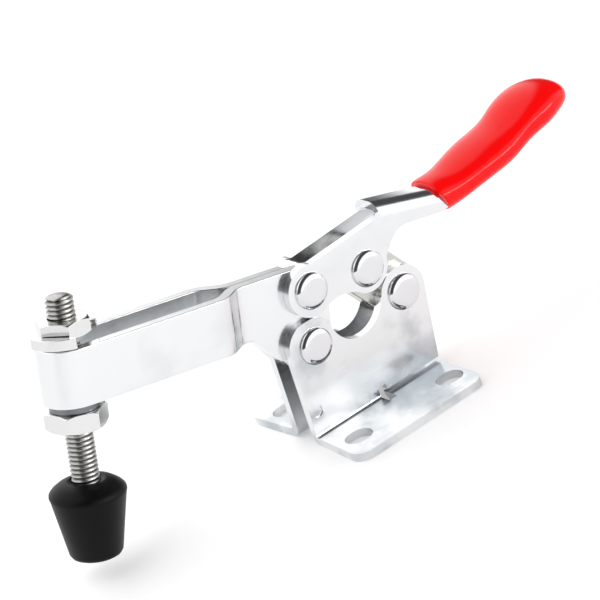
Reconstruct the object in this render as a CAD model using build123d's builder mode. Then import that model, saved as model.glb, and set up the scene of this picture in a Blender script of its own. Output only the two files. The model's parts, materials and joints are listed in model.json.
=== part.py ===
"""Horizontal-handle toggle clamp: pressed steel base, open U-bar arm, linked lever with a dipped
grip, and a rubber-tipped M6 spindle. Millimetres.

X runs from the spindle towards the handle, -Y is the near side and Z is up. The origin is on the
underside of the feet, at the centre of the four mounting slots.
"""

from build123d import *
from math import atan2, cos, degrees, radians, sin, sqrt, tan
import os

os.makedirs("parts", exist_ok=True)

# ---- driving dimensions -------------------------------------------------------------------

# sheet and fits
base_sheet = 2.0  # base plates
lever_sheet = 2.0
arm_sheet = 2.5
link_sheet = 2.5
seam_gap = 0.1  # between the two arm legs, and between the two link plates
side_gap = 0.05  # between an inner layer and an outer one
pin_clearance = 0.05  # running fit of a plate on its rivet
rivet_clearance = 0.02  # plate clenched on its rivet
seat_gap = 0.03  # washers and nuts

# base
base_front = 18.1
base_rear = 17.6
base_half_width = 21.0
foot_lean = 0.06  # forward lean of the feet's front edges, per millimetre outwards
foot_corner = 3.4
bend_inner = 0.6
slot_x = 13.2
slot_y = 13.4
slot_width = 5.5
slot_length = 6.6
relief_x = 1.4  # relief slot where the bend stops
relief_width = 2.2
relief_rise = 4.3
relief_reach = 7.7
shear_gap = 0.9  # between the free part of the cheek and its foot
notch_x = 0.9
notch_z = 24.7
notch_radius = 7.05
shoulder_rise = 6.2  # top of the cheek above the arm pivot
shoulder_corner = 5.5
saddle_rise = 1.6  # crest between the notch and the link lobe
base_link_lobe = 6.0
dimple_x = -16.0
dimple_z = 7.6
dimple_radius = 1.4
dimple_depth = 0.35

# pivots
pivot_height = 21.6
arm_pivot_x = -11.3
link_pivot_x = 13.95
arm_tilt = 12.05  # how far the arm's tip is raised
crank_rise = 12.42  # lever pivot across the bar from the arm pivot
crank_back = 0.55
lever_span = 15.35  # lever pivot to link rivet
link_span = 11.76
rivet_radius = 2.4
rivet_head_radius = 4.2
rivet_head_height = 1.35
rivet_head_edge = 0.3
rivet_head_flat = 2.5  # radius of the flat on top of a head

# arm, measured along and across the bar from its pivot
bar_length = 58.4  # arm pivot to the centre of the front bend
bar_half_width = 6.5
bar_bottom = 4.95
bar_top = 17.55
neck_front = 22.4
neck_rear = 17.2
neck_bend = 5.0
arm_lobe = 6.1
throat_front = 14.2
throat_low_back = -8.1
throat_low_up = -1.5
throat_round = 3.0

# lever, whose side plates carry a web behind the link rivet
lever_lobe = 5.95
lever_link_lobe = 5.5
lever_crown_x = -10.5
lever_crown_z = 38.9
lever_brow_z = 40.5
valley_front = (-5.2, 28.4)  # underside between the two lobes
valley_top = (-1.2, 28.75)
valley_rear = (4.4, 26.2)
hook_x = (12.45, 13.2, 15.1, 17.9, 21.0)  # underside behind the link lobe
hook_z = (30.6, 31.8, 33.8, 35.4, 35.2)
web_front_x = 14.2
web_front_z = 43.2
web_rear_x = 30.0
web_rear_z = 38.5
under_rear_z = 33.2
tang_end_x = 58.0
tang_end_z = 42.6
tang_end_depth = 3.8
web_round = 3.2
web_inner_round = 1.0

# grip, oval sections along the tang
grip_x = (30.4, 35.0, 40.0, 45.0, 50.0, 55.0, 60.0, 65.0, 70.0, 73.2)
grip_drop = (2.6, 2.7, 2.9, 2.7, 2.2, 1.2, 0.9, 1.5, 2.9, 3.8)  # below the tang's top line
grip_half_height = (4.5, 4.6, 4.5, 4.5, 4.6, 5.0, 5.1, 4.5, 3.3, 1.2)
grip_half_width = (6.4, 7.0, 7.6, 8.0, 8.3, 8.9, 9.0, 8.0, 6.0, 2.6)
grip_fit = 0.02

# link
link_half_width = 6.1
link_eye = 4.55  # open round the lever's rivet, so that the linkage turns as a tree

# spindle group, measured up from the arm pivot, square to the bar
spindle_radius = 3.0
spindle_top = 27.5
spindle_point = 0.4
washer_thick = 1.2
washer_lift = 0.7  # underside of the upper washer's disc above the bar
washer_radius = 8.0
washer_waist = 7.8  # width between the lips
washer_lip_width = 10.0
washer_lip_sheet = 2.2
washer_lip_rise = 1.1  # above the nut's seat
washer_turn = 38.0
washer_bore = 3.25
upper_nut_flats = 10.5
upper_nut_height = 3.5
upper_nut_turn = 10.0
lower_washer_thick = 1.6
lower_washer_radius = 5.4
lower_nut_flats = 12.0
lower_nut_height = 4.1
lower_nut_turn = 42.0
thread_fit = 0.05
nut_corner = 0.85  # how far the end faces stay inside the corners
nut_lean = 60.0  # chamfer, from the nut's axis
tip_top = -12.9
tip_rim = -15.4
tip_rim_depth = 1.1
tip_bottom = -30.0
tip_collar_radius = 4.4
tip_rim_radius = 8.35
tip_end_radius = 5.6
tip_end_round = 0.8
screw_head_radius = 4.4
screw_head_top = -20.0
screw_head_height = 4.0

# ---- worked out ---------------------------------------------------------------------------

arm_face = seam_gap / 2 + arm_sheet
link_face = seam_gap / 2 + link_sheet
inner_face = max(arm_face, link_face) + side_gap
cheek_face = inner_face + base_sheet
lever_face = inner_face + lever_sheet
cheek_top = pivot_height + shoulder_rise
saddle_z = pivot_height + saddle_rise
tilt = radians(arm_tilt)
spindle_forward = bar_length
arm_pivot = (arm_pivot_x, pivot_height)
link_pivot = (link_pivot_x, pivot_height)

side = Plane(origin=(0, 0, 0), x_dir=(1, 0, 0), z_dir=(0, -1, 0))
arm_side = Plane(
    origin=(arm_pivot_x, 0, pivot_height),
    x_dir=(cos(tilt), 0, -sin(tilt)),
    z_dir=(0, -1, 0),
)
bar_plan = Plane(
    origin=(arm_pivot_x, 0, pivot_height),
    x_dir=(cos(tilt), 0, -sin(tilt)),
    z_dir=(sin(tilt), 0, cos(tilt)),
)


def from_arm(back, up):
    """Side-view position of a point given along and across the bar, from the arm pivot."""
    return (
        arm_pivot_x + back * cos(tilt) + up * sin(tilt),
        pivot_height - back * sin(tilt) + up * cos(tilt),
    )


def upper_crossing(first, first_radius, second, second_radius):
    """Upper crossing of two circles."""
    dx = second[0] - first[0]
    dz = second[1] - first[1]
    apart = sqrt(dx**2 + dz**2)
    along = (first_radius**2 - second_radius**2 + apart**2) / (2 * apart)
    across = sqrt(first_radius**2 - along**2)
    return (
        first[0] + (along * dx - across * dz) / apart,
        first[1] + (along * dz + across * dx) / apart,
    )


lever_pivot = from_arm(crank_back, crank_rise)
link_rivet = upper_crossing(lever_pivot, lever_span, link_pivot, link_span)


def across_spindle(height):
    """Plane square to the spindle, at a height above the arm pivot."""
    x, z = from_arm(-spindle_forward, height)
    return Plane(origin=(x, 0, z), x_dir=bar_plan.x_dir, z_dir=bar_plan.z_dir)


def save(builder, label):
    builder.part.label = label
    export_step(builder.part, f"parts/{label}.step")


# ---- base plates --------------------------------------------------------------------------

with BuildPart() as base_plate_near:
    # cheek
    with BuildSketch(side.offset(inner_face)):
        with BuildLine():
            Polyline(
                (-base_front, 0),
                (-base_front, cheek_top),
                (arm_pivot_x, cheek_top),
                (arm_pivot_x, saddle_z),
                (link_pivot_x, saddle_z),
                (link_pivot_x + base_link_lobe, pivot_height),
                (base_rear, base_sheet),
                (base_rear, 0),
                close=True,
            )
        make_face()
        with Locations(arm_pivot):
            Circle(shoulder_rise)
        with Locations(link_pivot):
            Circle(base_link_lobe)
        with Locations((notch_x, notch_z)):
            Circle(notch_radius, mode=Mode.SUBTRACT)
        front_top = vertices().filter_by(lambda v: v.X < arm_pivot_x).sort_by(Axis.Y)[-1]
        fillet(front_top, shoulder_corner)
        with Locations(arm_pivot, link_pivot):
            Circle(rivet_radius + rivet_clearance, mode=Mode.SUBTRACT)
    extrude(amount=base_sheet)
    # foot
    foot_front = base_front + foot_lean * (base_half_width - cheek_face)
    with BuildSketch(Plane.XY):
        with BuildLine():
            Polyline(
                (-base_front, -inner_face),
                (-base_front, -cheek_face),
                (-foot_front, -base_half_width),
                (base_rear, -base_half_width),
                (base_rear, -inner_face),
                close=True,
            )
        make_face()
        fillet(vertices().sort_by(Axis.Y)[:2], foot_corner)
        with Locations((-slot_x, -slot_y), (slot_x, -slot_y)):
            SlotOverall(slot_length, slot_width, mode=Mode.SUBTRACT)
    extrude(amount=base_sheet)
    # bend
    along = base_plate_near.edges().filter_by(Axis.X)
    inside = along.filter_by_position(Axis.Y, -cheek_face - 0.01, -cheek_face + 0.01)
    fillet(inside.filter_by_position(Axis.Z, base_sheet - 0.01, base_sheet + 0.01), bend_inner)
    along = base_plate_near.edges().filter_by(Axis.X)
    outside = along.filter_by_position(Axis.Y, -inner_face - 0.01, -inner_face + 0.01)
    fillet(outside.filter_by_position(Axis.Z, -0.01, 0.01), bend_inner + base_sheet)
    # the rear half of the cheek is sheared free of its foot, with a relief slot where it starts
    with BuildSketch(side.offset(inner_face)):
        with Locations((relief_x, base_sheet)):
            Rectangle(
                base_rear + base_link_lobe,
                shear_gap,
                align=(Align.MIN, Align.MIN),
            )
    extrude(amount=bend_inner + base_sheet, mode=Mode.SUBTRACT)
    with BuildSketch(side.offset(inner_face)):
        with Locations((relief_x, relief_rise / 2)):
            Rectangle(relief_width, relief_rise)
    extrude(amount=relief_reach - inner_face, mode=Mode.SUBTRACT)
    # dimple by the front edge
    with BuildSketch(side.offset(cheek_face - dimple_depth)):
        with Locations((dimple_x, dimple_z)):
            Circle(dimple_radius)
    extrude(amount=dimple_depth, mode=Mode.SUBTRACT)
save(base_plate_near, "base_plate_near")

with BuildPart() as base_plate_far:
    mirror(base_plate_near.part, about=Plane.XZ)
save(base_plate_far, "base_plate_far")

# ---- clamp arm: one strip bent into a U, its legs joggled together at the pivots ------------

leg_middle = bar_half_width - arm_sheet / 2
tail_middle = (seam_gap + arm_sheet) / 2
strip_tail = arm_lobe + crank_rise
strip_depth = 2 * (bar_top + arm_lobe)

with BuildPart() as clamp_arm:
    with BuildSketch(bar_plan):
        with BuildLine():
            near_leg = FilletPolyline(
                (strip_tail, -tail_middle),
                (-neck_rear, -tail_middle),
                (-neck_front, -leg_middle),
                (-bar_length, -leg_middle),
                radius=neck_bend,
            )
            RadiusArc((-bar_length, -leg_middle), (-bar_length, leg_middle), leg_middle)
            mirror(near_leg, about=Plane.XZ)
        trace(line_width=arm_sheet)
    extrude(amount=strip_depth / 2, both=True)
    with BuildSketch(arm_side):
        with BuildLine():
            Polyline(
                (-bar_length - bar_half_width, bar_top),
                (crank_back, bar_top),
                (crank_back, 0),
                (0, -arm_lobe),
                (-arm_lobe / 2, -arm_lobe / 2),
                (throat_low_back, throat_low_up),
                (-throat_front, bar_bottom),
                (-bar_length - bar_half_width, bar_bottom),
                close=True,
            )
        make_face()
        fillet(
            vertices().filter_by(lambda v: abs(v.X + throat_front) < 0.01),
            throat_round,
        )
        with Locations((0, 0)):
            Circle(arm_lobe)
        with Locations((crank_back, crank_rise)):
            Circle(bar_top - crank_rise)
        with Locations((0, 0)):
            Rectangle(arm_lobe, crank_rise, align=(Align.MIN, Align.MIN))
        with Locations((0, 0), (crank_back, crank_rise)):
            Circle(rivet_radius + pin_clearance, mode=Mode.SUBTRACT)
    extrude(amount=bar_half_width, both=True, mode=Mode.INTERSECT)
save(clamp_arm, "clamp_arm")

# ---- lever: two side plates, joined by a web that runs on into the grip ---------------------

hook = tuple(zip(hook_x, hook_z))

with BuildPart() as handle_lever:
    with BuildSketch(side.offset(inner_face)):
        with BuildLine():
            Polyline(
                (lever_crown_x, lever_crown_z),
                (web_front_x, lever_brow_z),
                (web_front_x, web_front_z),
                (web_rear_x, web_rear_z),
                (tang_end_x, tang_end_z),
                (tang_end_x, tang_end_z - tang_end_depth),
                (web_rear_x, under_rear_z),
                hook[-1],
            )
            Spline(*hook, tangents=((0, 1), (web_rear_x - hook[-1][0], under_rear_z - hook[-1][1])))
            Polyline(hook[0], link_rivet, valley_rear)
            ThreePointArc(valley_rear, valley_top, valley_front)
            Polyline(valley_front, lever_pivot, (lever_crown_x, lever_crown_z))
        make_face()
        with Locations(lever_pivot):
            Circle(lever_lobe)
        with Locations(link_rivet):
            Circle(lever_link_lobe)
        with Locations(lever_pivot, link_rivet):
            Circle(rivet_radius + rivet_clearance, mode=Mode.SUBTRACT)
    extrude(amount=lever_sheet)
    mirror(about=Plane.XZ)
    with BuildSketch(side):
        with BuildLine():
            Polyline(
                (web_front_x, web_front_z),
                (web_rear_x, web_rear_z),
                (tang_end_x, tang_end_z),
                (tang_end_x, tang_end_z - lever_sheet),
                (web_rear_x, web_rear_z - lever_sheet),
                (web_front_x, web_front_z - lever_sheet),
                close=True,
            )
        make_face()
    extrude(amount=lever_face, both=True)
    crown = handle_lever.faces().filter_by(
        lambda f: f.normal_at().Z > 0.5 and abs(f.center().Y) < 0.01
    )
    long_edges = [
        e
        for e in crown.edges()
        if abs(abs(e.center().Y) - lever_face) < 0.01
    ]
    fillet(long_edges, web_round)
    roof = handle_lever.faces().filter_by(
        lambda f: f.normal_at().Z < -0.5 and abs(f.center().Y) < 0.01
    )
    inner_edges = [
        e
        for e in roof.edges()
        if abs(abs(e.center().Y) - inner_face) < 0.01
    ]
    fillet(inner_edges, web_inner_round)
save(handle_lever, "handle_lever")

# ---- grip -----------------------------------------------------------------------------------


tang_slope = (tang_end_z - web_rear_z) / (tang_end_x - web_rear_x)
grip_z = [
    web_rear_z + tang_slope * (x - web_rear_x) - drop
    for x, drop in zip(grip_x, grip_drop)
]


def grip_plane(index):
    """Plane square to the grip's centre line at one of its sections."""
    before = max(index - 1, 0)
    after = min(index + 1, len(grip_x) - 1)
    direction = (grip_x[after] - grip_x[before], 0, grip_z[after] - grip_z[before])
    return Plane(origin=(grip_x[index], 0, grip_z[index]), x_dir=(0, 1, 0), z_dir=direction)


with BuildPart() as grip_sleeve:
    for index, (half_height, half_width) in enumerate(zip(grip_half_height, grip_half_width)):
        with BuildSketch(grip_plane(index)):
            Ellipse(half_width, half_height)
    loft()
    # room for the tang
    with BuildSketch(side):
        with BuildLine():
            Polyline(
                (web_front_x, web_front_z + grip_fit),
                (web_rear_x, web_rear_z + grip_fit),
                (tang_end_x + grip_fit, tang_end_z + grip_fit),
                (tang_end_x + grip_fit, tang_end_z - tang_end_depth - grip_fit),
                (web_rear_x, under_rear_z - grip_fit),
                (web_front_x, under_rear_z - grip_fit),
                close=True,
            )
        make_face()
    extrude(amount=lever_face + grip_fit, both=True, mode=Mode.SUBTRACT)
save(grip_sleeve, "grip_sleeve")

# ---- link plates ----------------------------------------------------------------------------

link_turn = degrees(atan2(link_pivot[1] - link_rivet[1], link_pivot[0] - link_rivet[0]))
link_middle = ((link_pivot[0] + link_rivet[0]) / 2, (link_pivot[1] + link_rivet[1]) / 2)

with BuildPart() as link_plate_near:
    with BuildSketch(side.offset(seam_gap / 2)):
        with Locations(link_middle):
            SlotCenterToCenter(link_span, 2 * link_half_width, rotation=link_turn)
        with Locations(link_rivet):
            Circle(link_eye, mode=Mode.SUBTRACT)
        with Locations(link_pivot):
            Circle(rivet_radius + pin_clearance, mode=Mode.SUBTRACT)
    extrude(amount=link_sheet)
save(link_plate_near, "link_plate_near")

with BuildPart() as link_plate_far:
    mirror(link_plate_near.part, about=Plane.XZ)
save(link_plate_far, "link_plate_far")

# ---- rivets, with round-shouldered flat heads on both sides ---------------------------------------------------


def rivet(centre, outer_face, label):
    """Rivet across the clamp at a side-view position, its heads on the outer plates."""
    rivet_plan = Plane(origin=(centre[0], 0, centre[1]), x_dir=(1, 0, 0), z_dir=(0, 0, 1))
    head_edge = outer_face + rivet_head_edge
    head_top = outer_face + rivet_head_height
    with BuildPart() as body:
        with BuildSketch(rivet_plan):
            with BuildLine():
                shank = Polyline(
                    (rivet_radius, 0),
                    (rivet_radius, outer_face),
                    (rivet_head_radius, outer_face),
                    (rivet_head_radius, head_edge),
                )
                shoulder = TangentArc(
                    (rivet_head_flat, head_top),
                    (rivet_head_radius, head_edge),
                    tangent=(1, 0),
                )
                top = Line((0, head_top), (rivet_head_flat, head_top))
                mirror(shank, about=Plane.XZ)
                mirror(shoulder, about=Plane.XZ)
                mirror(top, about=Plane.XZ)
                Line((0, -head_top), (0, head_top))
            make_face()
        revolve(axis=Axis((centre[0], 0, centre[1]), (0, 1, 0)))
    save(body, label)


rivet(arm_pivot, cheek_face, "rivet_arm_base")
rivet(link_pivot, cheek_face, "rivet_link_base")
rivet(lever_pivot, lever_face, "rivet_arm_lever")
rivet(link_rivet, lever_face, "rivet_lever_link")

# ---- spindle group ----------------------------------------------------------------------------

disc_underside = bar_top + washer_lift
upper_nut_seat = disc_underside + washer_thick + seat_gap
lower_washer_top = bar_bottom - seat_gap
lower_nut_top = lower_washer_top - lower_washer_thick - seat_gap

with BuildPart() as upper_washer:
    with BuildSketch(across_spindle(disc_underside)):
        Circle(washer_radius)
        Rectangle(2 * washer_radius, washer_waist, rotation=washer_turn, mode=Mode.INTERSECT)
        Circle(washer_bore, mode=Mode.SUBTRACT)
    extrude(amount=washer_thick)
    with BuildSketch(across_spindle(disc_underside)):
        Circle(washer_radius)
        Rectangle(2 * washer_radius, washer_lip_width, rotation=washer_turn, mode=Mode.INTERSECT)
        Rectangle(
            2 * (washer_radius - washer_lip_sheet),
            2 * washer_radius,
            rotation=washer_turn,
            mode=Mode.SUBTRACT,
        )
    extrude(amount=washer_thick + washer_lip_rise)
save(upper_washer, "upper_washer")


def hexagon_nut(seat, height, flats, turn, label):
    """Hexagon nut with its corners chamfered, standing on a seat height."""
    corner = flats / sqrt(3)
    with BuildPart() as nut:
        with BuildSketch(across_spindle(seat)):
            RegularPolygon(corner, 6, rotation=turn)
            Circle(spindle_radius + thread_fit, mode=Mode.SUBTRACT)
        extrude(amount=height)
        with BuildSketch(across_spindle(seat + height / 2)):
            Circle(corner - nut_corner + height / 2 * tan(radians(nut_lean)))
        extrude(amount=height / 2, both=True, taper=nut_lean, mode=Mode.INTERSECT)
    save(nut, label)


hexagon_nut(upper_nut_seat, upper_nut_height, upper_nut_flats, upper_nut_turn, "upper_nut")
hexagon_nut(
    lower_nut_top - lower_nut_height,
    lower_nut_height,
    lower_nut_flats,
    lower_nut_turn,
    "lower_nut",
)

with BuildPart() as lower_washer:
    with BuildSketch(across_spindle(lower_washer_top)):
        Circle(lower_washer_radius)
        Circle(washer_bore, mode=Mode.SUBTRACT)
    extrude(amount=-lower_washer_thick)
save(lower_washer, "lower_washer")

spindle_base = from_arm(-spindle_forward, 0)
spindle_axis = Axis((spindle_base[0], 0, spindle_base[1]), (sin(tilt), 0, cos(tilt)))
spindle_side = Plane(
    origin=(spindle_base[0], 0, spindle_base[1]),
    x_dir=(cos(tilt), 0, -sin(tilt)),
    z_dir=(0, -1, 0),
)
screw_head_bottom = screw_head_top - screw_head_height

with BuildPart() as spindle:
    with BuildSketch(spindle_side):
        with BuildLine():
            Polyline(
                (0, screw_head_bottom),
                (screw_head_radius, screw_head_bottom),
                (screw_head_radius, screw_head_top),
                (spindle_radius, screw_head_top),
                (spindle_radius, spindle_top - spindle_point),
                (spindle_radius - spindle_point, spindle_top),
                (0, spindle_top),
                close=True,
            )
        make_face()
    revolve(axis=spindle_axis)
save(spindle, "spindle")

with BuildPart() as rubber_tip:
    with BuildSketch(spindle_side):
        with BuildLine():
            Polyline(
                (0, tip_bottom),
                (tip_end_radius - tip_end_round, tip_bottom),
                (tip_end_radius, tip_bottom + tip_end_round),
                (tip_rim_radius, tip_rim - tip_rim_depth),
                (tip_rim_radius, tip_rim),
                (tip_collar_radius, tip_top),
                (spindle_radius + rivet_clearance, tip_top),
                (spindle_radius + rivet_clearance, screw_head_top + rivet_clearance),
                (screw_head_radius + rivet_clearance, screw_head_top + rivet_clearance),
                (screw_head_radius + rivet_clearance, screw_head_bottom),
                (0, screw_head_bottom),
                close=True,
            )
        make_face()
    revolve(axis=spindle_axis)
save(rubber_tip, "rubber_tip")
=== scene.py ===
"""Looks of a horizontal-handle toggle clamp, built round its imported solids. Metres."""

import json
import math

import bmesh
import bpy
from mathutils import Matrix, Vector


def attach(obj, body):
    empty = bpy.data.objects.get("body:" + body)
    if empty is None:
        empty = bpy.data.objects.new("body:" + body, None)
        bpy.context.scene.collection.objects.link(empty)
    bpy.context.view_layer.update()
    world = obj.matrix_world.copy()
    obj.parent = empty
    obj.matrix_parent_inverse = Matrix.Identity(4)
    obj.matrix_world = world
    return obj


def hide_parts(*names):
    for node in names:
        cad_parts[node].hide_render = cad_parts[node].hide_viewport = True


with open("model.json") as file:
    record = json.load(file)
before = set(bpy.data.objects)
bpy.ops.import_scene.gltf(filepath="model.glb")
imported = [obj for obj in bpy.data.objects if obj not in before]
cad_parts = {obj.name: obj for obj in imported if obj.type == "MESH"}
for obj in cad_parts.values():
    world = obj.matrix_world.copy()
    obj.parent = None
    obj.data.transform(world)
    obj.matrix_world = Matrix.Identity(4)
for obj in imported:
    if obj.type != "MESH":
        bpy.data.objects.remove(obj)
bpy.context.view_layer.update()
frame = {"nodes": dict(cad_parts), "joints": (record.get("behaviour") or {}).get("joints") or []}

# ---- Camera ------------------------------------------------------------------------------------
# A long lens on a tripod about 0.7 m away, looking down over the clamp's spindle end and rolled a
# little, so that the arm runs up to the right and the sides stay nearly free of perspective.

MM = 0.001
CAMERA_AZIMUTH = math.radians(-29.84)
CAMERA_HEIGHT = math.radians(24.58)
CAMERA_ROLL = math.radians(-18.19)
CAMERA_DISTANCE = 717.2 * MM
AIM_RIGHT = -15.44 * MM
AIM_UP = 22.36 * MM
LENS = 194.86  # with SENSOR, in Blender's own millimetres
SENSOR = 36.0

away = Vector(
    (
        math.sin(CAMERA_AZIMUTH) * math.cos(CAMERA_HEIGHT),
        -math.cos(CAMERA_AZIMUTH) * math.cos(CAMERA_HEIGHT),
        math.sin(CAMERA_HEIGHT),
    )
)
level = Vector((0, 0, 1)).cross(away).normalized()
upright = away.cross(level)
right = math.cos(CAMERA_ROLL) * level + math.sin(CAMERA_ROLL) * upright
up = math.cos(CAMERA_ROLL) * upright - math.sin(CAMERA_ROLL) * level

camera_data = bpy.data.cameras.new("camera")
camera_data.lens = LENS
camera_data.sensor_width = SENSOR
camera = bpy.data.objects.new("camera", camera_data)
camera.matrix_world = Matrix.Translation(
    AIM_RIGHT * right + AIM_UP * up + CAMERA_DISTANCE * away
) @ Matrix((right, up, away)).transposed().to_4x4()
bpy.context.scene.collection.objects.link(camera)
bpy.context.scene.camera = camera

# ---- Light tent and floor ----------------------------------------------------------------------
# A sheet of white paper under a tent in two lit white halves. The unlit gap between them, over the
# top, is what bright metal shows as black, and a strip lamp low on the right lines the vinyl.


def linear(hex_colour):
    """Linear RGBA of an sRGB hex colour."""
    channels = [int(hex_colour[i : i + 2], 16) / 255 for i in (1, 3, 5)]
    return [c / 12.92 if c <= 0.04045 else ((c + 0.055) / 1.055) ** 2.4 for c in channels] + [1]


def add_node(tree, kind, settings=None, values=None, links=None):
    """A shader node with its settings, its socket values and the sockets that feed it."""
    made = tree.nodes.new(kind)
    for name, value in (settings or {}).items():
        setattr(made, name, value)
    for name, value in (values or {}).items():
        made.inputs[name].default_value = value
    for name, source in (links or {}).items():
        tree.links.new(source, made.inputs[name])
    return made


def new_material(name):
    """An empty node material and its tree."""
    material = bpy.data.materials.new(name)
    material.use_nodes = True
    material.node_tree.nodes.clear()
    return material, material.node_tree


TENT_LIGHT = 1.52
GAP_LIGHT = 0.07  # what leaks into the gap from the room
GAP_SQUARE_TO = Vector((-0.516, 0.749, 0.416)).normalized()
GAP_EDGE = math.sin(math.radians(28))  # fully lit beyond this angle off the gap's middle
GAP_CORE = math.sin(math.radians(17.5))  # fully dark within this one

world = bpy.data.worlds.new("tent")
world.use_nodes = True
bpy.context.scene.world = world
tent = world.node_tree
tent.nodes.clear()
direction = add_node(tent, "ShaderNodeTexCoord").outputs["Generated"]
off_the_gap = add_node(
    tent,
    "ShaderNodeVectorMath",
    {"operation": "DOT_PRODUCT"},
    {1: GAP_SQUARE_TO},
    {0: direction},
).outputs["Value"]
either_side = add_node(
    tent, "ShaderNodeMath", {"operation": "ABSOLUTE"}, links={0: off_the_gap}
).outputs["Value"]
light = add_node(
    tent,
    "ShaderNodeMapRange",
    {"interpolation_type": "SMOOTHSTEP"},
    {
        "From Min": GAP_EDGE,
        "From Max": GAP_CORE,
        "To Min": TENT_LIGHT,
        "To Max": GAP_LIGHT,
    },
    {"Value": either_side},
).outputs["Result"]
background = add_node(tent, "ShaderNodeBackground", links={"Strength": light})
background.inputs["Color"].default_value = linear("#FFFFFF")
add_node(tent, "ShaderNodeOutputWorld", links={"Surface": background.outputs[0]})

FLOOR_SIZE = 4000 * MM
PAPER_WHITE = "#F2F2F2"
PAPER_GLOW = 0.3  # a little light of its own, which keeps the ground white
# Uncoated paper: matt, with no shine, so that it only takes soft shadows.
paper, tree = new_material("white_paper")
surface = add_node(
    tree,
    "ShaderNodeBsdfPrincipled",
    values={
        "Base Color": linear(PAPER_WHITE),
        "Roughness": 0.9,
        "Specular IOR Level": 0.0,
        "Emission Color": linear("#FFFFFF"),
        "Emission Strength": PAPER_GLOW,
    },
)
add_node(tree, "ShaderNodeOutputMaterial", links={"Surface": surface.outputs[0]})
sheet = bmesh.new()
bmesh.ops.create_grid(sheet, x_segments=1, y_segments=1, size=FLOOR_SIZE / 2)
floor_mesh = bpy.data.meshes.new("floor")
sheet.to_mesh(floor_mesh)
sheet.free()
floor = bpy.data.objects.new("floor", floor_mesh)
floor.data.materials.append(paper)
bpy.context.scene.collection.objects.link(floor)

STRIP_TOWARDS = Vector((0.45, -0.87, 0.19)).normalized()
STRIP_DISTANCE = 900 * MM
STRIP_LENGTH = 700 * MM
STRIP_WIDTH = 60 * MM
STRIP_POWER = 2.4
strip_data = bpy.data.lights.new("strip", "AREA")
strip_data.shape = "RECTANGLE"
strip_data.size = STRIP_LENGTH
strip_data.size_y = STRIP_WIDTH
strip_data.energy = STRIP_POWER
strip_lamp = bpy.data.objects.new("strip", strip_data)
strip_lamp.matrix_world = Matrix.Translation(STRIP_DISTANCE * STRIP_TOWARDS) @ (
    STRIP_TOWARDS.to_track_quat("Z", "Y").to_matrix().to_4x4()
)
bpy.context.scene.collection.objects.link(strip_lamp)

bpy.context.scene.view_settings.view_transform = "Standard"

# ---- Pressed steel: base plates, arm, lever and links ------------------------------------------
# Mild steel sheet and strip, 2 and 2.5 mm thick, blanked in a press, bent and then zinc plated in
# a barrel. Blanking rolls the edges over, and the barrel takes the sharpness off all corners.

DIP_SIZE = 7 * MM
DIP_DEPTH = 0.15 * MM
MARK_SIZE = 0.35 * MM  # drawn coarser than real rolling marks, so that they show
MARK_DEPTH = 0.02 * MM
MARK_SQUEEZE = 0.08  # along X, which draws the marks out along the strip
MARK_FAINT, MARK_STRONG = 0.3, 0.7  # values of the pattern
MARK_POLISHES, MARK_DULLS = 0.04, 0.05  # change in roughness at those values
# Painted shade: blue-grey patches over the zinc's colour, more of them towards the foot.
SHADE_PATCH_SIZE = 15 * MM
PAINTED_SHADE_GREY = "#A3AAB0"
SHADE_PATCH_STARTS, SHADE_PATCH_FULL = 0.48, 0.72  # values of the pattern
FOOT_SHADE_TOP = 14 * MM
FOOT_SHADE_BOTTOM = 2 * MM
FOOT_SHADE_MORE = 0.1  # added to the pattern's value at the foot height
# sockets of a Mix node in its colour form
MIX_SHARE, MIX_FIRST, MIX_SECOND, MIX_RESULT = 0, 6, 7, 2


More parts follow.
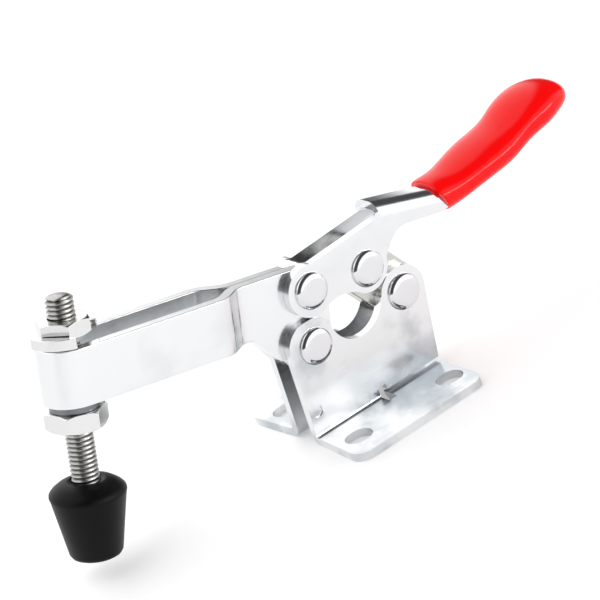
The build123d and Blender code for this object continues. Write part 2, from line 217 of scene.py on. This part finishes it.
def zinc_plate(name, colour, roughness, dips=0.35, marks=0.03, shade_clouds=0.0):
    """Bright zinc on cold-rolled steel.

    Smooth and mirror-like, with soft dips that bend what it reflects, faint rolling marks along
    the strip that dull it a little, and blue-grey patches of painted shade, more of them towards
    the foot.
    """
    material, tree = new_material(name)
    place = add_node(tree, "ShaderNodeTexCoord").outputs["Object"]
    soft_dips = add_node(
        tree,
        "ShaderNodeTexNoise",
        values={"Scale": 1 / DIP_SIZE, "Detail": 1.0, "Roughness": 0.4},
        links={"Vector": place},
    ).outputs["Fac"]
    drawn_out = add_node(
        tree, "ShaderNodeMapping", values={"Scale": (MARK_SQUEEZE, 1, 1)}, links={"Vector": place}
    ).outputs["Vector"]
    rolling_marks = add_node(
        tree,
        "ShaderNodeTexNoise",
        values={"Scale": 1 / MARK_SIZE, "Detail": 3.0, "Roughness": 0.6},
        links={"Vector": drawn_out},
    ).outputs["Fac"]
    waves = add_node(
        tree,
        "ShaderNodeBump",
        values={"Strength": dips, "Distance": DIP_DEPTH},
        links={"Height": soft_dips},
    ).outputs["Normal"]
    relief = add_node(
        tree,
        "ShaderNodeBump",
        values={"Strength": marks, "Distance": MARK_DEPTH},
        links={"Height": rolling_marks, "Normal": waves},
    ).outputs["Normal"]
    dulled = add_node(
        tree,
        "ShaderNodeMapRange",
        values={
            "From Min": MARK_FAINT,
            "From Max": MARK_STRONG,
            "To Min": roughness - MARK_POLISHES,
            "To Max": roughness + MARK_DULLS,
        },
        links={"Value": rolling_marks},
    ).outputs["Result"]
    surface = add_node(
        tree,
        "ShaderNodeBsdfPrincipled",
        values={"Base Color": linear(colour), "Metallic": 1.0},
        links={"Roughness": dulled, "Normal": relief},
    )
    # painted shade: blue-grey patches mixed into the colour, stronger towards the foot
    if shade_clouds:
        shade_patches = add_node(
            tree,
            "ShaderNodeTexNoise",
            values={"Scale": 1 / SHADE_PATCH_SIZE, "Detail": 4.0, "Roughness": 0.55},
            links={"Vector": place},
        ).outputs["Fac"]
        height = add_node(tree, "ShaderNodeSeparateXYZ", links={0: place}).outputs["Z"]
        more_towards_foot = add_node(
            tree,
            "ShaderNodeMapRange",
            values={"From Min": FOOT_SHADE_TOP, "From Max": FOOT_SHADE_BOTTOM, "To Max": FOOT_SHADE_MORE},
            links={"Value": height},
        ).outputs["Result"]
        foot_weighted_shade = add_node(
            tree, "ShaderNodeMath", {"operation": "ADD"}, links={0: shade_patches, 1: more_towards_foot}
        ).outputs["Value"]
        shade_cover = add_node(
            tree,
            "ShaderNodeMapRange",
            {"interpolation_type": "SMOOTHSTEP"},
            {"From Min": SHADE_PATCH_STARTS, "From Max": SHADE_PATCH_FULL, "To Max": shade_clouds},
            {"Value": foot_weighted_shade},
        ).outputs["Result"]
        shaded_colour = add_node(
            tree,
            "ShaderNodeMix",
            {"data_type": "RGBA"},
            {MIX_FIRST: linear(colour), MIX_SECOND: linear(PAINTED_SHADE_GREY)},
            {MIX_SHARE: shade_cover},
        ).outputs[MIX_RESULT]
        tree.links.new(shaded_colour, surface.inputs["Base Color"])
    add_node(tree, "ShaderNodeOutputMaterial", links={"Surface": surface.outputs[0]})
    return material


SAME_POINT = 0.002 * MM
FLAT_WITHIN = math.radians(0.5)
EDGE_FROM = math.radians(35)  # flatter corners, as in a bend's facets, stay as they are
EDGE_STEPS = 3


def soften(piece, radius):
    """Rolls the edges of a blanked piece and shades it smoothly."""
    weld = piece.modifiers.new("weld", "WELD")
    weld.merge_threshold = SAME_POINT
    flat = piece.modifiers.new("flat", "DECIMATE")
    flat.decimate_type = "DISSOLVE"
    flat.angle_limit = FLAT_WITHIN
    rolled = piece.modifiers.new("rolled", "BEVEL")
    rolled.width = radius
    rolled.segments = EDGE_STEPS
    rolled.limit_method = "ANGLE"
    rolled.angle_limit = EDGE_FROM
    rolled.use_clamp_overlap = True
    smooth = piece.modifiers.new("smooth", "WEIGHTED_NORMAL")
    smooth.keep_sharp = True
    for face in piece.data.polygons:
        face.use_smooth = True


def finish_node(name, material, radius):
    """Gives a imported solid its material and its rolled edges."""
    piece = frame["nodes"][name]
    piece.data.materials.clear()
    piece.data.materials.append(material)
    soften(piece, radius)


# Each plate has its own tone of the same zinc. The base plates carry the most painted shade, and
# the links, in the shade between the cheeks, are painted greyer as painted shade.
EDGE_ROUND = 0.3 * MM
base_zinc = zinc_plate("bright_zinc_base", "#E6E7E8", 0.2, shade_clouds=0.65)
arm_zinc = zinc_plate("bright_zinc_arm", "#E9EAEB", 0.18, shade_clouds=0.15)
lever_zinc = zinc_plate("bright_zinc_lever", "#E6E7E9", 0.18, shade_clouds=0.15)
# painted shade: the links' zinc is a greyer copy for their place between the cheeks
shaded_link_zinc = zinc_plate("painted_shade_zinc_link", "#C9C9C4", 0.26)

finish_node("base_plate_near", base_zinc, EDGE_ROUND)
finish_node("base_plate_far", base_zinc, EDGE_ROUND)
finish_node("clamp_arm", arm_zinc, EDGE_ROUND)
finish_node("handle_lever", lever_zinc, EDGE_ROUND)
finish_node("link_plate_near", shaded_link_zinc, EDGE_ROUND)
finish_node("link_plate_far", shaded_link_zinc, EDGE_ROUND)

# ---- Rivets, nuts and washers ------------------------------------------------------------------
# Cold-headed rivets with flat, round-shouldered heads, clenched through the plates, and pressed
# nuts and washers that clamp the spindle to the bar. All are zinc plated and smoother than sheet.

RIVET_EDGE = 0.08 * MM
NUT_EDGE = 0.12 * MM
WASHER_EDGE = 0.15 * MM
# Zinc on headed and tumbled steel: the rivets are the most mirror-like, the nuts a little softer.
rivet_zinc = zinc_plate("polished_zinc_rivet", "#DFDFE1", 0.10, dips=0.15, marks=0.02)
nut_zinc = zinc_plate("bright_zinc_nut", "#E0E0E0", 0.16, dips=0.15, marks=0.03)
for name in ("rivet_arm_base", "rivet_link_base", "rivet_arm_lever", "rivet_lever_link"):
    finish_node(name, rivet_zinc, RIVET_EDGE)
for name in ("upper_nut", "lower_nut"):
    finish_node(name, nut_zinc, NUT_EDGE)
finish_node("upper_washer", nut_zinc, WASHER_EDGE)
# The lower washer sits in the shade under the bar; its zinc is dull, and painted dark grey as
# painted shade.
painted_shade_washer_zinc = zinc_plate("painted_shade_zinc_washer", "#7C7D80", 0.3, dips=0.15, marks=0.03)
finish_node("lower_washer", painted_shade_washer_zinc, WASHER_EDGE)

# ---- Spindle -----------------------------------------------------------------------------------
# An M6 rod with a chamfered point, its thread rolled from steel wire and zinc plated. It stands
# square to the arm's bar, where the two nuts hold it.

joints = {joint["name"]: joint for joint in frame["joints"]}
tilt_axis = Vector(joints["spindle_height"]["axis"]).normalized()
rear_axis = Vector(joints["carriage_slide"]["axis"]).normalized()
arm_pivot = Vector(joints["arm_swing"]["pos_m"])
SPINDLE_FORWARD = 58.4 * MM  # from the arm's pivot, along the bar
spindle_seat = arm_pivot - SPINDLE_FORWARD * rear_axis
spindle_frame = Matrix.Translation(spindle_seat) @ Matrix(
    (rear_axis, Vector((0, 1, 0)), tilt_axis)
).transposed().to_4x4()


def new_piece(name, shape, material, body, place=None):
    """A finished piece from a bmesh, its place kept in its mesh."""
    if place is not None:
        shape.transform(place)
    mesh = bpy.data.meshes.new(name)
    shape.to_mesh(mesh)
    shape.free()
    for face in mesh.polygons:
        face.use_smooth = True
    piece = bpy.data.objects.new(name, mesh)
    piece.data.materials.append(material)
    bpy.context.scene.collection.objects.link(piece)
    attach(piece, body)
    return piece


def strip(shape, points):
    """Vertices joined by edges in a row, from (radius, height) pairs."""
    row = [shape.verts.new((radius, 0, height)) for radius, height in points]
    edges = [shape.edges.new(pair) for pair in zip(row, row[1:])]
    return row + edges


THREAD_PITCH = 1.0 * MM
THREAD_CREST = 3.0 * MM
THREAD_ROOT = 2.40 * MM
THREAD_FLAT = 0.14 * MM
TURN_STEPS = 36
SPARE_TURNS = 2
THREAD_MERGE = 0.01 * MM
SPINDLE_TOP = 27.5 * MM
SPINDLE_FOOT = -19.5 * MM
POINT_CHAMFER = 0.4 * MM
SAME_HEIGHT = 0.001 * MM

thread = bmesh.new()
turns = math.ceil((SPINDLE_TOP - SPINDLE_FOOT) / THREAD_PITCH) + SPARE_TURNS
start = SPINDLE_FOOT - THREAD_PITCH
groove = strip(
    thread,
    [
        (THREAD_ROOT, start),
        (THREAD_CREST, start + THREAD_PITCH / 2 - THREAD_FLAT / 2),
        (THREAD_CREST, start + THREAD_PITCH / 2 + THREAD_FLAT / 2),
        (THREAD_ROOT, start + THREAD_PITCH),
    ],
)
bmesh.ops.spin(
    thread,
    geom=groove,
    cent=(0, 0, 0),
    axis=(0, 0, 1),
    dvec=(0, 0, THREAD_PITCH / TURN_STEPS),
    angle=math.tau * turns,
    steps=TURN_STEPS * turns,
    use_merge=False,
    use_duplicate=False,
)
bmesh.ops.remove_doubles(thread, verts=thread.verts, dist=THREAD_MERGE)
for height, normal in ((SPINDLE_TOP, 1), (SPINDLE_FOOT, -1)):
    bmesh.ops.bisect_plane(
        thread,
        geom=thread.verts[:] + thread.edges[:] + thread.faces[:],
        plane_co=(0, 0, height),
        plane_no=(0, 0, normal),
        clear_outer=True,
    )
    open_edges = [e for e in thread.edges if e.is_boundary]
    rim = [e for e in open_edges if abs(e.verts[0].co.z - height) < SAME_HEIGHT]
    bmesh.ops.edgeloop_fill(thread, edges=rim)
# turns the point's chamfer
for vert in thread.verts:
    reach = THREAD_CREST - POINT_CHAMFER + (SPINDLE_TOP - vert.co.z)
    radius = vert.co.xy.length
    if radius > reach > 0:
        vert.co.xy *= reach / radius
bmesh.ops.recalc_face_normals(thread, faces=thread.faces)
# 0 on the crests and the sawn end, 1 at the bottom of the groove; it masks the painted groove
# shade
depth_layer = thread.verts.layers.float.new("groove_depth")
for vert in thread.verts:
    below_crest = (THREAD_CREST - vert.co.xy.length) / (THREAD_CREST - THREAD_ROOT)
    on_the_end = abs(vert.co.z - SPINDLE_TOP) < SAME_HEIGHT
    vert[depth_layer] = 0.0 if on_the_end else min(max(below_crest, 0), 1)

# Rolled thread in zinc: satin, with bright crests and painted shade in the grooves, nearly black.
CREST_COLOUR = "#B4B3B0"
GROOVE_SHADE_COLOUR = "#161615"
thread_zinc = zinc_plate("dull_zinc_thread", CREST_COLOUR, 0.3, dips=0.2, marks=0.1)
thread_surface = thread_zinc.node_tree.nodes["Principled BSDF"]
groove_depth = add_node(
    thread_zinc.node_tree, "ShaderNodeAttribute", {"attribute_name": "groove_depth"}
).outputs["Fac"]
# painted shade: the colour darkens to nearly black down into the grooves
groove_shaded_colour = add_node(
    thread_zinc.node_tree,
    "ShaderNodeMix",
    {"data_type": "RGBA"},
    {MIX_FIRST: linear(CREST_COLOUR), MIX_SECOND: linear(GROOVE_SHADE_COLOUR)},
    {MIX_SHARE: groove_depth},
).outputs[MIX_RESULT]
thread_zinc.node_tree.links.new(groove_shaded_colour, thread_surface.inputs["Base Color"])
spindle = new_piece(
    "spindle_thread", thread, thread_zinc, "spindle", spindle_frame
)
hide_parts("spindle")

# ---- Rubber tip --------------------------------------------------------------------------------
# A cap of black nitrile rubber, compression moulded and pulled over the spindle's head. It has a
# domed collar, a rolled rim and a body that tapers to the flat pressing face.

# Moulded black rubber: satin and close to black, with the fine skin that the mould leaves.
RUBBER_BLACK = "#060607"
SKIN_GRAIN = 0.6 * MM  # drawn coarser than the real skin, so that it shows
SKIN_DEPTH = 0.05 * MM
SKIN_RELIEF = 0.12
rubber, tree = new_material("moulded_black_rubber")
place = add_node(tree, "ShaderNodeTexCoord").outputs["Object"]
grain = add_node(
    tree,
    "ShaderNodeTexNoise",
    values={"Scale": 1 / SKIN_GRAIN, "Detail": 4.0},
    links={"Vector": place},
).outputs["Fac"]
relief = add_node(
    tree,
    "ShaderNodeBump",
    values={"Strength": SKIN_RELIEF, "Distance": SKIN_DEPTH},
    links={"Height": grain},
).outputs["Normal"]
surface = add_node(
    tree,
    "ShaderNodeBsdfPrincipled",
    values={
        "Base Color": linear(RUBBER_BLACK),
        "Roughness": 0.42,
        "Specular IOR Level": 0.12,
    },
    links={"Normal": relief},
)
add_node(tree, "ShaderNodeOutputMaterial", links={"Surface": surface.outputs[0]})

# radius and height in mm of each point, from the spindle round the collar to the face's middle
TIP_PROFILE = [
    (2.9, -13.6),
    (3.3, -12.95),
    (4.4, -12.95),
    (6.2, -13.6),
    (7.6, -14.6),
    (8.2, -15.3),
    (8.3, -15.9),
    (8.1, -16.5),
    (5.75, -28.9),
    (5.3, -29.6),
    (4.6, -29.95),
    (2.0, -30.0),
    (0.0, -30.0),
]
TIP_STEPS = 96
TIP_MERGE = 0.005 * MM
tip = bmesh.new()
wall = strip(tip, [(radius * MM, height * MM) for radius, height in TIP_PROFILE])
bmesh.ops.spin(
    tip,
    geom=wall,
    cent=(0, 0, 0),
    axis=(0, 0, 1),
    angle=math.tau,
    steps=TIP_STEPS,
    use_merge=True,
    use_duplicate=False,
)
bmesh.ops.remove_doubles(tip, verts=tip.verts, dist=TIP_MERGE)
mouth = [e for e in tip.edges if e.is_boundary]
bmesh.ops.edgeloop_fill(tip, edges=mouth)
bmesh.ops.recalc_face_normals(tip, faces=tip.faces)
tip_piece = new_piece("moulded_tip", tip, rubber, "spindle", spindle_frame)
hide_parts("rubber_tip")

# ---- Grip --------------------------------------------------------------------------------------
# PVC plastisol, dipped over the lever's tang and baked. It is thick and oval, waved for the
# fingers, and ends at the front in a thin rim that hugs the channel.

# Dipped vinyl: a deep, even red with a wet gloss, a little uneven where the dip ran as it set.
VINYL_RED = "#FD090B"
RUN_SIZE = 9 * MM
RUN_DEPTH = 0.3 * MM
RUN_RELIEF = 0.15
vinyl, tree = new_material("glossy_dipped_vinyl")
place = add_node(tree, "ShaderNodeTexCoord").outputs["Object"]
runs = add_node(
    tree,
    "ShaderNodeTexNoise",
    values={"Scale": 1 / RUN_SIZE, "Detail": 1.0},
    links={"Vector": place},
).outputs["Fac"]
relief = add_node(
    tree,
    "ShaderNodeBump",
    values={"Strength": RUN_RELIEF, "Distance": RUN_DEPTH},
    links={"Height": runs},
).outputs["Normal"]
surface = add_node(
    tree,
    "ShaderNodeBsdfPrincipled",
    values={
        "Base Color": linear(VINYL_RED),
        "Roughness": 0.16,
        "Specular IOR Level": 0.2,
    },
    links={"Normal": relief},
)
add_node(tree, "ShaderNodeOutputMaterial", links={"Surface": surface.outputs[0]})

# centre x and z, half height and half width in mm, and lean in degrees, from the rim to the end
GRIP_SECTIONS = [
    (30.7, 35.8, 4.15, 5.65, 20),
    (31.0, 35.85, 4.4, 5.9, 19),
    (32.2, 35.9, 4.35, 6.0, 16),
    (34.4, 35.95, 4.1, 6.15, 12),
    (37.0, 36.2, 4.0, 6.55, 11),
    (41.0, 37.1, 4.1, 7.25, 12),
    (45.0, 37.9, 4.25, 7.85, 10),
    (49.0, 38.4, 4.3, 7.9, 10),
    (52.0, 39.1, 4.2, 7.7, 16),
    (55.0, 40.2, 4.15, 7.5, 21),
    (58.0, 41.5, 4.55, 8.05, 18),
    (62.0, 42.4, 4.8, 8.5, 11),
    (65.6, 43.0, 4.3, 7.7, 5),
    (68.6, 42.9, 3.55, 6.5, -4),
    (70.5, 42.5, 2.35, 4.7, -10),
    (71.5, 42.1, 1.0, 2.2, -14),
]
SECTION_SIDES = 32
BOXINESS = 2.2  # 2 is an ellipse, more is squarer
LIP = 0.9 * MM
HOLLOW = 0.3 * MM
ROUNDING = 2
sideways = Vector((0, 1, 0))
grip = bmesh.new()
rings = []
for x, z, half_height, half_width, lean in GRIP_SECTIONS:
    along = Vector((math.cos(math.radians(lean)), 0, math.sin(math.radians(lean))))
    across = Matrix((along.cross(sideways), sideways, along)).transposed().to_4x4()
    circle = bmesh.ops.create_circle(grip, cap_ends=False, radius=1.0, segments=SECTION_SIDES)
    ring = circle["verts"]
    for vert in ring:
        squared = (abs(vert.co.x) ** BOXINESS + abs(vert.co.y) ** BOXINESS) ** (-1 / BOXINESS)
        vert.co *= squared
    stretch = Matrix.Diagonal((half_height * MM, half_width * MM, 1, 1))
    place = Matrix.Translation((x * MM, 0, z * MM)) @ across @ stretch
    bmesh.ops.transform(grip, matrix=place, verts=ring)
    rings.append([e for e in grip.edges if all(v in ring for v in e.verts)])
for first, second in zip(rings, rings[1:]):
    bmesh.ops.bridge_loops(grip, edges=first + second)
bmesh.ops.edgeloop_fill(grip, edges=rings[-1])
mouth = bmesh.ops.edgeloop_fill(grip, edges=rings[0])["faces"]
bmesh.ops.inset_region(grip, faces=mouth, thickness=LIP, use_even_offset=True)
bmesh.ops.translate(grip, verts=mouth[0].verts[:], vec=(HOLLOW, 0, 0))
bmesh.ops.recalc_face_normals(grip, faces=grip.faces)
grip_piece = new_piece("dipped_grip", grip, vinyl, "lever")
rounded = grip_piece.modifiers.new("rounded", "SUBSURF")
rounded.levels = ROUNDING
rounded.render_levels = ROUNDING
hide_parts("grip_sleeve")
